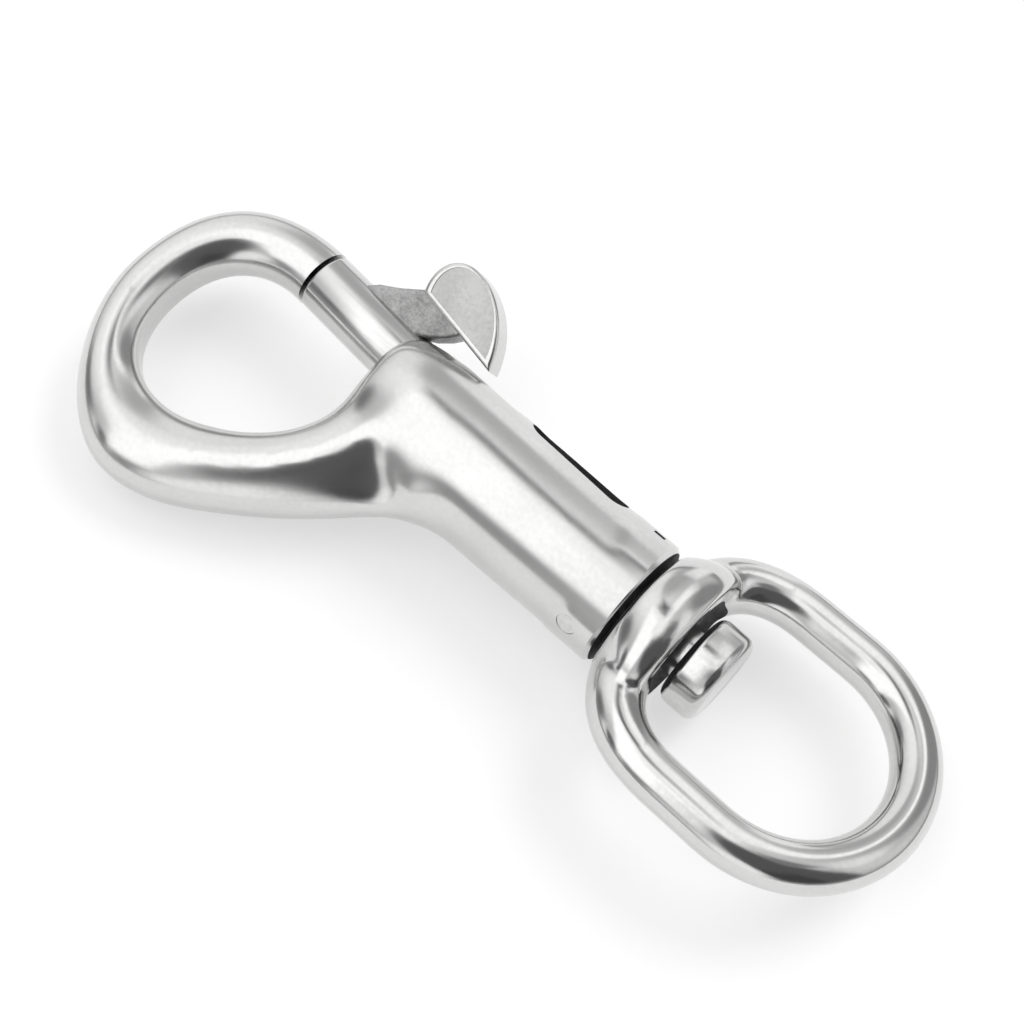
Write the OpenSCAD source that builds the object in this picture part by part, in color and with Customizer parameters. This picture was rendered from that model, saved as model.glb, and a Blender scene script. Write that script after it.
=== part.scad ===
// Swivel snap hook: a cast hook with a spring bolt for a gate, and a swivel bow on a headed pin.
// Local frame of the hook: X runs along the barrel towards the swivel, the hook lies in the XY
// plane and the centre of the barrel's rear face is at the origin. The whole part is then rolled
// about X and lifted until it lies on the floor at z = 0.

/* [Barrel] */
// Length from the mouth, where the bolt comes out, to the rear face
barrel_length = 32.7; // [31.5:0.1:40]
// Diameter at the rear face
barrel_rear_d = 12.7; // [12:0.1:15.5]
// Diameter where the barrel is fattest, just behind the mouth
barrel_front_d = 13.7; // [12.4:0.1:16]

/* [Hook eye] */
// Clear length of the eye, from the mouth to the far wall
eye_length = 19.4; // [16:0.1:24]
// Clear width of the eye, measured across the axis
eye_width = 16.8; // [14:0.1:20]
// Thickness of the curl at its far end
curl_thickness = 5.3; // [4.8:0.1:7]
// Thickness of the curl at the heel, where it turns back to the barrel
heel_thickness = 8; // [6.5:0.1:9.6]
// Height of the curl at its far end, across the hook's plane
curl_height = 6.2; // [5.2:0.1:7.5]
// Height of the curl at the heel
heel_height = 7.1; // [6:0.1:8.5]

/* [Bolt] */
// Diameter of the bolt
bolt_d = 6; // [5:0.1:6.2]
// Length of bolt that shows between the nose and the mouth, which is the gate
gate_length = 10.4; // [8.8:0.1:12.5]
// Length of bolt held in the barrel with the gate shut
bolt_hold = 10.9; // [9:0.1:12]
// Travel of the bolt from shut to stop
bolt_travel = 10; // [8:0.1:10.2]
// Angle between the bolt and the barrel's axis
bolt_tilt = 4.5; // [3.5:0.1:5]
// Distance of the bolt's axis from the barrel's axis at the rear face
bolt_rear_offset = 1; // [0.8:0.05:1.2]
// Radial clearance between the bolt and its bore
bolt_clearance = 0.08; // [0.05:0.01:0.1]
// Gap between the bolt's tip and the nose of the hook
nose_gap = 0.3; // [0.15:0.05:0.5]
// Wire of the compression spring
spring_wire = 0.5; // [0.4:0.05:0.55]
// Working turns of the spring
spring_turns = 6; // [4:1:6]

/* [Thumb lever] */
// Turn of the lever and its slot about the bolt, out of the hook's plane
lever_roll = 20; // [0:1:20]
// Thickness of the web that stands on the bolt
web_thickness = 3; // [2.4:0.1:3.2]
// Thickness of the thumb pad
pad_thickness = 3.4; // [2.8:0.1:3.4]
// Length of the thumb pad along its straight edge
pad_length = 10; // [8.6:0.1:11]
// Width of the thumb pad from its straight edge to its crown
pad_width = 5.2; // [4.4:0.1:6.3]
// Clearance on each side of the pad as it passes along the slot
slot_clearance = 0.3; // [0.25:0.05:0.4]

/* [Swivel] */
// Diameter of the swivel pin's shank
shank_d = 5; // [4.1:0.1:5.4]
// Diameter of the swivel pin's head
head_d = 9.1; // [8:0.1:10]
// Thickness of the swivel pin's head
head_thickness = 3.8; // [3:0.1:4.6]
// Radial clearance between the shank and the bow's boss
shank_clearance = 0.08; // [0.05:0.01:0.1]
// Gap between the barrel's rear face and the boss
front_gap = 0.5; // [0.3:0.05:0.8]
// Gap between the boss and the pin's head
head_gap = 0.8; // [0.4:0.05:1]
// Diameter of the cross pin that holds the swivel pin
cross_pin_d = 2; // [1.6:0.1:2.4]

/* [Bow] */
// Diameter of the round rod of the bow
bow_rod_d = 4.75; // [4:0.05:5.5]
// Overall width of the bow
bow_width = 27.8; // [25.5:0.1:34]
// Clear length of the bow, from the boss to the far end of its eye
bow_clear_length = 21.2; // [19:0.1:26]
// Length of the boss along the axis
boss_length = 5.3; // [4.8:0.1:6.4]
// Largest diameter of the boss
boss_d = 13.5; // [13:0.1:15]
// Turn of the bow about the axis, measured from the hook's plane
bow_turn = -17; // [-25:0.5:0]

/* [Hidden] */
$fn = 96;
cut = 1;

mouth_x = -barrel_length;
nose_x = mouth_x - gate_length;
far_x = mouth_x - eye_length;
rear_r = barrel_rear_d / 2;
front_r = barrel_front_d / 2;

// The bolt's axis leans in the hook's plane.
function axis_y(x) = bolt_rear_offset - x * tan(bolt_tilt);
bolt_dir = [cos(bolt_tilt), -sin(bolt_tilt)];
bolt_side = [sin(bolt_tilt), cos(bolt_tilt)];
nose_c = [nose_x, axis_y(nose_x)];
nose_r = bolt_d / 2 + 0.05;
eye_top = nose_c[1] - bolt_d / 2 + 0.4;
eye_bottom = eye_top - eye_width;
eye_mid = (eye_top + eye_bottom) / 2;
outer_top = eye_top + curl_thickness + 0.5;
outer_bottom = eye_bottom - heel_thickness;
outer_far = far_x - curl_thickness;

// Plan outlines of the casting, each a run of cubic curves. The inner one goes from the nose,
// round the eye, up the mouth and along the slotted side. The outer one goes round the back.
inner_heel_x = mouth_x - 0.61 * eye_length;
outer_heel_x = mouth_x - 0.58 * eye_length;
cone_x = -14;
sink = 0.05;
inner_run = [
    [nose_c - nose_r * bolt_side, [nose_x - 0.6 * (nose_x - far_x), eye_top + 0.1],
     [far_x, eye_mid + 0.31 * eye_width], [far_x, eye_mid]],
    [[far_x, eye_mid], [far_x, eye_mid - 0.31 * eye_width],
     [inner_heel_x - 0.24 * eye_length, eye_bottom], [inner_heel_x, eye_bottom]],
    [[inner_heel_x, eye_bottom], [inner_heel_x + 0.26 * eye_length, eye_bottom],
     [mouth_x + 0.3, eye_mid - 0.19 * eye_width], [mouth_x + 0.7, eye_mid + 0.14 * eye_width]],
    [[mouth_x + 0.7, eye_mid + 0.14 * eye_width], [mouth_x + 0.9, 0.44 * front_r],
     [mouth_x - 0.4, front_r], [mouth_x + 6.7, front_r]],
    [[mouth_x + 6.7, front_r], [mouth_x + 9, front_r],
     [cone_x - 1, cone_r(cone_x - 1)], [cone_x + 4, cone_r(cone_x + 4) - sink]]
];
outer_run = [
    [nose_c + nose_r * bolt_side, [nose_x - 0.64 * (nose_x - outer_far), outer_top + 0.3],
     [outer_far, eye_mid + 0.56 * eye_width], [outer_far, eye_mid]],
    [[outer_far, eye_mid], [outer_far, eye_mid - 0.44 * eye_width],
     [outer_heel_x - 0.34 * eye_length, outer_bottom], [outer_heel_x, outer_bottom]],
    [[outer_heel_x, outer_bottom], [outer_heel_x + 0.34 * eye_length, outer_bottom],
     [mouth_x + 3.2, -2.4 * front_r], [mouth_x + 8.7, -1.6 * front_r]],
    [[mouth_x + 8.7, -1.6 * front_r], [mouth_x + 11.2, -1.26 * front_r],
     [mouth_x + 12.4, -1.015 * front_r], [mouth_x + 18.7, -cone_r(mouth_x + 18.7)]],
    [for (k = [0 : 3]) let (x = mouth_x + 18.7 + (cone_x + 4 - mouth_x - 18.7) * k / 3)
        [x, -cone_r(x) + sink * k / 3]]
];
// Half height of the casting and half height of the flat that faces the eye, at each join of
// the curves above.
half_height = [nose_r, curl_height / 2, heel_height / 2, 0.74 * front_r, front_r, cone_r(cone_x + 4) - sink];
flat_height = [0.3, 0.52 * curl_height / 2, 0.4 * heel_height / 2, bolt_d / 2 - 0.3, 0.02, 0.02];
mouth_flat = bolt_d / 2 + 0.35;

function cone_r(x) = rear_r + (front_r - rear_r) * min(1, -x / (barrel_length - 6));
function bez(p, t) = let (u = 1 - t) u*u*u*p[0] + 3*u*u*t*p[1] + 3*u*t*t*p[2] + t*t*t*p[3];
function run_at(run, s) = let (k = min(len(run) - 1, floor(s))) bez(run[k], s - k);
function ease(t) = t * t * (3 - 2 * t);
function value_at(v, s) = let (k = min(len(v) - 2, floor(s))) v[k] + (v[k + 1] - v[k]) * ease(s - k);
function flat_at(s) = max(value_at(flat_height, s), s > 3 && s < 4 ? mouth_flat * sin(180 * (s - 3)) : 0);

// One ring of the casting: a half ellipse outside, and inside a part of an ellipse cut off by
// the flat wall.
arc_steps = 6;
function ring_at(s) =
    let (
        i = run_at(inner_run, s),
        o = run_at(outer_run, s),
        mid = (i + o) / 2,
        half = norm(o - i) / 2,
        dir = (o - i) / norm(o - i),
        h = value_at(half_height, s),
        turn = acos(min(1, flat_at(s) / h)),
        long = half / sin(turn)
    )
    concat(
        [for (k = [0 : arc_steps]) let (a = turn - turn * k / arc_steps)
            [mid[0] - dir[0] * long * sin(a), mid[1] - dir[1] * long * sin(a), h * cos(a)]],
        [for (k = [1 : 2 * arc_steps - 1]) let (a = 90 * k / arc_steps)
            [mid[0] + dir[0] * half * sin(a), mid[1] + dir[1] * half * sin(a), h * cos(a)]],
        [for (k = [0 : arc_steps]) let (a = turn * k / arc_steps)
            [mid[0] - dir[0] * long * sin(a), mid[1] - dir[1] * long * sin(a), -h * cos(a)]]
    );

// Skin over a list of rings of equal count, closed at both ends.
module loft(rings) {
    n = len(rings[0]);
    m = len(rings);
    polyhedron(
        points = [for (r = rings) each r],
        faces = concat(
            [[for (k = [0 : n - 1]) k]],
            [for (j = [0 : m - 2]) for (k = [0 : n - 1])
                [j*n + k, (j + 1)*n + k, (j + 1)*n + (k + 1) % n, j*n + (k + 1) % n]],
            [[for (k = [n - 1 : -1 : 0]) (m - 1)*n + k]]
        ),
        convexity = 8
    );
}

// Places a shape made along +X on the bolt's axis, at the point where the axis passes x, with
// +Y out through the slot.
module on_bolt(x) {
    translate([x, axis_y(x), 0]) rotate([0, 0, -bolt_tilt]) rotate([lever_roll, 0, 0]) children();
}
module rod_x(r, x0, x1) {
    translate([x0, 0, 0]) rotate([0, 90, 0]) cylinder(r = r, h = x1 - x0);
}
module rod_y(r, y0, y1) {
    translate([0, y1, 0]) rotate([90, 0, 0]) cylinder(r = r, h = y1 - y0);
}
// A body of revolution about X from an outline of [x, radius] points.
module turned(outline) {
    rotate([0, 90, 0]) rotate_extrude() polygon([for (p = outline) [p[1], p[0]]]);
}

// Hook body
station_count = [9, 9, 9, 12, 3];
stations = concat([for (k = [0 : 4]) for (j = [0 : station_count[k] - 1]) k + j / station_count[k]], [5]);
pad_front_x = -5.1;
pad_stand = 0.2;
pad_height = 0.86 * barrel_rear_d;
edge_r = 0.5;
slot_w = pad_thickness + 2 * slot_clearance;
web_front = -6.4;
web_rear = 0.5;
slot_end_x = mouth_x + web_rear + bolt_travel + 3.7;
slot_floor = bolt_d / 3;
// The window over the spring lies behind the slot, turned further about the bolt
window_w = 3.3;
window_turn = 15;
window_front = slot_end_x + 0.65;
window_rear = pad_front_x - 1.15;
bolt_tip = nose_x + nose_gap;
bolt_length = mouth_x - bolt_tip + bolt_hold;
bolt_tail = bolt_tip + bolt_length;
spring_room = bolt_travel + (spring_turns + 2) * spring_wire + 0.3;
bore_end = bolt_tail + spring_room;
shank_end = bore_end + 1.1;
cross_pin_x = -2.9;
cross_pin_roll = -24;

module on_cross_pin() {
    translate([cross_pin_x, 0, 0]) rotate([cross_pin_roll, 0, 0]) children();
}
module barrel_skin() {
    turned([[cone_x, 0], [cone_x, cone_r(cone_x)], [-edge_r, cone_r(-edge_r)],
        [-0.3 * edge_r, rear_r - 0.3 * edge_r], [0, rear_r - edge_r], [0, 0]]);
    rotate([lever_roll, 0, 0]) intersection() {
        rod_x(rear_r + pad_stand, pad_front_x, -edge_r);
        translate([pad_front_x - cut, -barrel_rear_d, -pad_height / 2])
            cube([-pad_front_x + cut, 2 * barrel_rear_d, pad_height]);
    }
}
// An open-topped cut along the bolt with round ends at x0 and x1.
module slot_cut(x0, x1, width, turn) {
    on_bolt(x0) rotate([turn, 0, 0]) translate([0, slot_floor, -width / 2])
        cube([x1 - x0, barrel_front_d, width]);
    for (x = [x0, x1])
        on_bolt(x) rotate([turn, 0, 0]) rod_y(width / 2, slot_floor, barrel_front_d);
}
module hook_body() {
    color([0.75, 0.75, 0.76])
    difference() {
        union() {
            loft([for (s = stations) ring_at(s)]);
            barrel_skin();
        }
        on_bolt(mouth_x) rod_x(bolt_d / 2 + bolt_clearance, -3, bore_end - mouth_x);
        slot_cut(mouth_x - 3, slot_end_x - slot_w / 2, slot_w, 0);
        slot_cut(window_front + window_w / 2, window_rear - window_w / 2, window_w, window_turn);
        rod_x(shank_d / 2, shank_end, cut);
        on_cross_pin() rod_y(cross_pin_d / 2, -barrel_rear_d, barrel_rear_d);
    }
}

// Bolt
peg_d = 2;
peg_depth = 2.2;
peg_x = mouth_x - 3.1;
bolt_chamfer = 0.35;
module bolt() {
    color([0.8, 0.8, 0.81])
    difference() {
        on_bolt(bolt_tip) turned([[0, 0], [0, bolt_d / 2 - bolt_chamfer], [bolt_chamfer, bolt_d / 2],
            [bolt_length - bolt_chamfer, bolt_d / 2], [bolt_length, bolt_d / 2 - bolt_chamfer], [bolt_length, 0]]);
        on_bolt(peg_x) rod_y(peg_d / 2, bolt_d / 2 - peg_depth, bolt_d);
    }
}

// Thumb lever, drawn in the bolt's own direction with y measured from the bolt's axis
pad_lean = -5.9;
pad_start = [-1.5, 5.9];
pad_crown = [0.27 * pad_length, pad_width];
pad_run = [
    [[0, 0], [-0.14 * pad_length, 0.4 * pad_width], [-0.09 * pad_length, pad_width], pad_crown],
    [pad_crown, [0.5 * pad_length, pad_width], [0.83 * pad_length, 0.7 * pad_width], [pad_length, 0]]
];
module web_outline() {
    reach = bolt_d / 2;
    polygon([[web_front, reach - 0.6], [web_front + 1.1, reach + 0.55], [web_front + 2.9, reach + 1.7],
        [pad_start[0] + 0.4, pad_start[1] + 0.7], [pad_start[0] + 6.1, pad_start[1] + 0.4],
        [web_rear + 2.6, reach + 1.3], [web_rear + 1.5, reach + 0.3], [web_rear, reach - 0.6]]);
}
module pad_outline() {
    translate(pad_start) rotate([0, 0, pad_lean])
        polygon(concat([for (k = [0 : 15]) run_at(pad_run, k / 8)], [[pad_length, 0]]));
}
module thumb_lever() {
    color([0.68, 0.68, 0.68])
    on_bolt(mouth_x) difference() {
        union() {
            translate([0, 0, -web_thickness / 2]) linear_extrude(web_thickness) web_outline();
            translate([0, 0, -pad_thickness / 2]) linear_extrude(pad_thickness) pad_outline();
            translate([peg_x - mouth_x, 0, 0]) rod_y(peg_d / 2, bolt_d / 2 - peg_depth, bolt_d / 2 + 0.5);
        }
        difference() {
            rod_x(bolt_d / 2, web_front - cut, web_rear + cut);
            translate([peg_x - mouth_x, 0, 0]) rod_y(peg_d / 2, 0, bolt_d);
        }
    }
}

// Spring: one round wire swept along a helix with closed ends
spring_r = bolt_d / 2 - 0.35 - spring_wire / 2;
spring_end_gap = 0.05;
turn_steps = 14;
wire_sides = 8;
module spring() {
    room = spring_room - spring_wire - 2 * spring_end_gap;
    steps = (spring_turns + 2) * turn_steps;
    color([0.6, 0.6, 0.62])
    on_bolt(bolt_tail) translate([spring_end_gap + spring_wire / 2, 0, 0])
        loft([for (i = [0 : steps])
            let (
                a = 360 * i / turn_steps,
                f = max(0, min(1, (i / turn_steps - 1) / spring_turns)),
                lead = spring_wire * 1.02,
                body = room - 2 * lead,
                x = i < turn_steps ? lead * i / turn_steps
                  : i > steps - turn_steps ? room - lead * (steps - i) / turn_steps
                  : lead + body * f
            )
            [for (k = [0 : wire_sides - 1]) let (b = -360 * k / wire_sides)
                [x + spring_wire / 2 * sin(b),
                 (spring_r + spring_wire / 2 * cos(b)) * cos(a),
                 (spring_r + spring_wire / 2 * cos(b)) * sin(a)]]]);
}

// Swivel pin
boss_x = front_gap;
boss_end = boss_x + boss_length;
head_x = boss_end + head_gap;
head_end = head_x + head_thickness;
head_round = 0.9;
module swivel_pin() {
    color([0.78, 0.78, 0.79])
    difference() {
        turned(concat([[shank_end, 0], [shank_end, shank_d / 2 - 0.3], [shank_end + 0.3, shank_d / 2],
            [head_x, shank_d / 2], [head_x, head_d / 2 - head_round]],
            [for (a = [15 : 15 : 75])
                [head_x + head_round * (1 - cos(a)), head_d / 2 - head_round * (1 - sin(a))]],
            [for (a = [0 : 15 : 90])
                [head_end - head_round * (1 - sin(a)), head_d / 2 - head_round * (1 - cos(a))]],
            [[head_end, 0]]));
        on_cross_pin() rod_y(cross_pin_d / 2, -shank_d, shank_d);
    }
}

// Cross pin through the two pads and the swivel pin
module cross_pin() {
    reach = rear_r + pad_stand - 0.1;
    color([0.7, 0.7, 0.71])
    on_cross_pin() rod_y(cross_pin_d / 2, -reach, reach);
}

// Bow: a turned boss and a round rod bent to a long loop
rod_r = bow_rod_d / 2;
root_extra = 0.5;
bow_half = bow_width / 2 - rod_r;
bow_far = boss_end + bow_clear_length + rod_r;
bow_end_r = bow_half;
bow_end_x = bow_far - bow_end_r;
shoulder = [[boss_x + 2.4, 0.26 * bow_half], [boss_x + 2.7, 0.65 * bow_half],
    [boss_x + 5, 0.985 * bow_half], [boss_x + 11.5, 0.995 * bow_half]];
rod_sides = 16;
end_steps = 22;
shoulder_steps = 9;
bow_side = concat(
    [for (k = [0 : shoulder_steps]) bez(shoulder, k / shoulder_steps)],
    [for (k = [1 : end_steps / 2]) let (a = 90 - 180 * k / end_steps)
        [bow_end_x + bow_end_r * cos(a), bow_end_r * sin(a)]]);
bow_line = concat(bow_side, [for (k = [len(bow_side) - 2 : -1 : 0]) [bow_side[k][0], -bow_side[k][1]]]);

module bow_loop() {
    last = len(bow_line) - 1;
    loft([for (i = [0 : last])
        let (
            p = bow_line[i],
            d = bow_line[min(last, i + 1)] - bow_line[max(0, i - 1)],
            n = [-d[1], d[0]] / norm(d),
            r = rod_r + root_extra * ease(max(0, 1 - min(i, last - i) / shoulder_steps))
        )
        [for (k = [0 : rod_sides - 1]) let (a = 360 * (k + 0.5) / rod_sides)
            [p[0] + n[0] * r * cos(a), p[1] + n[1] * r * cos(a), r * sin(a)]]]);
}
boss_bulge = 0.6;
module swivel_bow() {
    color([0.76, 0.76, 0.77])
    rotate([bow_turn, 0, 0])
    difference() {
        union() {
            turned(concat([[boss_x, 0]],
                [for (a = [-50 : 10 : 50])
                    [boss_x + boss_length * (0.5 + 0.5 * sin(a) / sin(50)),
                     boss_d / 2 - boss_bulge * (1 - cos(a)) / (1 - cos(50))]],
                [[boss_end, 0]]));
            bow_loop();
        }
        rod_x(shank_d / 2 + shank_clearance, boss_x - cut, boss_end + cut);
        rod_x(boss_d / 2 - 0.4, boss_end, head_end + 0.3);
        rod_x(boss_d / 2, -4, boss_x);
    }
}

// Where it lies: it is rolled until the heel touches the floor that the barrel lies on.
axis_height = max(front_r, boss_d / 2);
heel_y = outer_bottom + heel_thickness / 2;
rest_roll = asin((axis_height - heel_height / 2) / -heel_y);
lever_lean = lever_roll + rest_roll;
lever_y = axis_y(mouth_x) * cos(rest_roll) + (pad_start[1] + pad_width) * cos(lever_lean)
    + pad_thickness / 2 * sin(lever_lean);
bow_y = bow_half * cos(bow_turn + rest_roll) + rod_r;
part_mid_x = (outer_far + bow_far + rod_r) / 2;
part_mid_y = (heel_y * cos(rest_roll) - heel_thickness / 2 + max(lever_y, bow_y)) / 2;
module lying() {
    translate([-part_mid_x, -part_mid_y, axis_height]) rotate([rest_roll, 0, 0]) children();
}

lying() hook_body();
lying() bolt();
lying() thumb_lever();
lying() spring();
lying() swivel_pin();
lying() cross_pin();
lying() swivel_bow();
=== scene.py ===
import bisect
import math

import bmesh
import bpy
from mathutils import Matrix, Vector


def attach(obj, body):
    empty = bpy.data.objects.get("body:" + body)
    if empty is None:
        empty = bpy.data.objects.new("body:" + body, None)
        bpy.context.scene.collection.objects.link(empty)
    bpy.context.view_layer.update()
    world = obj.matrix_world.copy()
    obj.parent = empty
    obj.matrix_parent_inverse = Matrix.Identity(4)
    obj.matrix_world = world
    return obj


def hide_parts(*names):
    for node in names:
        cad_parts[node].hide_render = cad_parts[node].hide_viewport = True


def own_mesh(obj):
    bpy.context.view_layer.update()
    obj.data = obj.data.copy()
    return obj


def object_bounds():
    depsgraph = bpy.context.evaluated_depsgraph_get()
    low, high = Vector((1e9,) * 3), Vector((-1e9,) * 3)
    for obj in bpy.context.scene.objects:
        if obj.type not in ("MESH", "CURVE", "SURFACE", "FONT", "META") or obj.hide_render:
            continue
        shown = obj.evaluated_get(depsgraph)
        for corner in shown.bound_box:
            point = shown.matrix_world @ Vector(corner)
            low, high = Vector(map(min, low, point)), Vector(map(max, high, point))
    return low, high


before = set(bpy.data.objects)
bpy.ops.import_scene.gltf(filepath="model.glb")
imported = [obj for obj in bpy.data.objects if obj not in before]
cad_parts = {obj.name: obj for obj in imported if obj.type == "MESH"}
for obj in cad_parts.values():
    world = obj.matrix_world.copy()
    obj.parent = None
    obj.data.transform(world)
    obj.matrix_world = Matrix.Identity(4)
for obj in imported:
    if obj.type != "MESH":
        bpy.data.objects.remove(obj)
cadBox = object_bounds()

print("frame loaded:", sorted(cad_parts))

# Shapes are drawn in millimetres: x runs along the barrel, the hook lies in the xy plane and
# the barrel's rear face is at x = 0. Each piece is then laid on the floor, in metres.
lay = dict(shift=(12.825, 4.3685, 6.85), roll=9.997895)
laying = (Matrix.Scale(0.001, 4) @ Matrix.Translation(lay["shift"])
          @ Matrix.Rotation(math.radians(lay["roll"]), 4, "X"))
upright = Matrix.Rotation(math.pi / 2, 4, "Z")  # turns a rod from x to y
scene = bpy.context.scene


def bez(p, t):
    u = 1 - t
    return p[0] * (u * u * u) + p[1] * (3 * u * u * t) + p[2] * (3 * u * t * t) + p[3] * (t * t * t)


def bezRun(start, *spans):
    # Curves joined end to end, each given by its two handles and its end.
    curves = []
    for span in spans:
        curves.append([Vector(p) for p in (start, *span)])
        start = span[-1]
    return curves


def runAt(run, s):
    k = min(len(run) - 1, max(0, int(s)))
    return bez(run[k], s - k)


def soft(t):
    t = min(1.0, max(0.0, t))
    return t * t * (3 - 2 * t)


def curveThrough(xs, ys, x):
    # A smooth curve through the points, with no overshoot between them.
    def slope(i):
        if i == 0:
            return 0.0
        a = (ys[i] - ys[i - 1]) / (xs[i] - xs[i - 1])
        if i == len(xs) - 1:
            return a
        b = (ys[i + 1] - ys[i]) / (xs[i + 1] - xs[i])
        return 0.0 if a * b <= 0 else 2 * a * b / (a + b)

    k = min(len(xs) - 2, max(0, bisect.bisect_right(xs, x) - 1))
    h = xs[k + 1] - xs[k]
    t = min(1.0, max(0.0, (x - xs[k]) / h))
    a, b = slope(k) * h, slope(k + 1) * h
    return (ys[k] * (2 * t**3 - 3 * t**2 + 1) + a * (t**3 - 2 * t**2 + t)
            + ys[k + 1] * (3 * t**2 - 2 * t**3) + b * (t**3 - t**2))


def closed(bm, near=1e-4):
    bmesh.ops.remove_doubles(bm, verts=bm.verts, dist=near)
    bmesh.ops.recalc_face_normals(bm, faces=bm.faces)
    return bm


def moved(bm, matrix):
    bmesh.ops.transform(bm, matrix=matrix, verts=bm.verts)
    return bm


def shell(rows):
    # A grid bent so that its rows follow the given rings; equal ends close to a pole.
    long, round_ = len(rows) - 1, len(rows[0])
    bm = bmesh.new()
    bmesh.ops.create_grid(bm, x_segments=long, y_segments=round_, size=0.5)
    for v in bm.verts:
        i, j = round((v.co.x + 0.5) * long), round((v.co.y + 0.5) * round_)
        v.co = rows[i][j % round_]
    return closed(bm)


def lathe(profile, steps=128):
    # Profile points are (x, radius) and turn about the x axis.
    bm = bmesh.new()
    points = [bm.verts.new((x, r, 0)) for x, r in profile]
    edges = [bm.edges.new(pair) for pair in zip(points, points[1:])]
    bmesh.ops.spin(bm, geom=points + edges, cent=(0, 0, 0), axis=(1, 0, 0),
                   angle=2 * math.pi, steps=steps, use_merge=True, use_duplicate=False)
    return closed(bm)


def corner(x, r, size, fromDeg, toDeg, steps=5):
    # Points of a rounded corner about the centre (x, r).
    angles = [math.radians(fromDeg + (toDeg - fromDeg) * k / steps) for k in range(steps + 1)]
    return [(x + size * math.cos(a), r + size * math.sin(a)) for a in angles]


def rod(radius, start, end, steps=96):
    return lathe([(start, 0), (start, radius), (end, radius), (end, 0)], steps)


def block(size, place):
    bm = bmesh.new()
    bmesh.ops.create_cube(bm, size=1)
    return moved(bm, place @ Matrix.Diagonal((*size, 1)))


def prism(outline, fromZ, height):
    # An outline in the xy plane, raised along z.
    bm = bmesh.new()
    face = bm.faces.new([bm.verts.new((x, y, fromZ)) for x, y in outline])
    raised = bmesh.ops.extrude_face_region(bm, geom=[face])["geom"]
    bmesh.ops.translate(bm, vec=(0, 0, height),
                        verts=[g for g in raised if isinstance(g, bmesh.types.BMVert)])
    bmesh.ops.recalc_face_normals(bm, faces=bm.faces)
    return bm


def piece(bm, name, materials=()):
    mesh = bpy.data.meshes.new(name)
    bm.to_mesh(mesh)
    bm.free()
    thing = bpy.data.objects.new(name, mesh)
    scene.collection.objects.link(thing)
    for material in materials:
        mesh.materials.append(material)
    return thing


def applied(thing):
    # The mesh with its modifiers worked in.
    depsgraph = bpy.context.evaluated_depsgraph_get()
    mesh = bpy.data.meshes.new_from_object(thing.evaluated_get(depsgraph))
    old = thing.data
    thing.modifiers.clear()
    thing.data = mesh
    bpy.data.meshes.remove(old)
    return thing


def carve(thing, shape, how="DIFFERENCE", faces=0):
    # Cuts the shape out of the thing, or joins it on; new faces take the numbered material.
    tool = piece(shape, "tool", thing.data.materials)
    if faces:
        for f in tool.data.polygons:
            f.material_index = faces
    cut = thing.modifiers.new("cut", "BOOLEAN")
    cut.operation, cut.solver, cut.object = how, "EXACT", tool
    applied(thing)
    bpy.data.objects.remove(tool)
    return thing


def paintShade(thing, where):
    # Paints shade: faces that pass the test take the second material, the painted-shade steel.
    for f in thing.data.polygons:
        if where(f.center, f.normal):
            f.material_index = 1


def relaxed(thing, passes, share=lambda p: 1.0):
    # The share says how many of the passes a place takes part in.
    bm = bmesh.new()
    bm.from_mesh(thing.data)
    shares = [(share(v.co), v) for v in bm.verts]
    for k in range(passes):
        bmesh.ops.smooth_vert(bm, verts=[v for part, v in shares if part * passes > k], factor=0.5,
                              use_axis_x=True, use_axis_y=True, use_axis_z=True)
    bm.to_mesh(thing.data)
    bm.free()
    return thing


def remeshed(thing, size, passes):
    # An even skin over the shape, softened as tumbling softens a casting.
    skin = thing.modifiers.new("skin", "REMESH")
    skin.mode, skin.voxel_size, skin.adaptivity = "VOXEL", size, 0.0
    return relaxed(applied(thing), passes)


def finished(thing, name, body, node, sharp=32):
    # Laid on the floor in metres, smooth but for edges sharper than the angle.
    thing.data.transform(laying)
    thing.name = thing.data.name = name
    thing.data.shade_smooth()
    thing.data.set_sharp_from_angle(angle=math.radians(sharp))
    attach(thing, body)
    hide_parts(node)
    print(name, len(thing.data.polygons), "faces")
    return thing


def link(tree, kind, inputs=None, **settings):
    # A new node: an input that is given a socket is linked, any other is set.
    made = tree.nodes.new(kind)
    for key, value in settings.items():
        setattr(made, key, value)
    for key, value in (inputs or {}).items():
        if isinstance(value, bpy.types.NodeSocket):
            tree.links.new(value, made.inputs[key])
        else:
            made.inputs[key].default_value = value
    return made


def worked(tree, operation, first, second=0.0, **settings):
    # A sum on two sockets or numbers.
    made = link(tree, "ShaderNodeMath", {0: first, 1: second}, operation=operation, **settings)
    return made.outputs[0]


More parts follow.
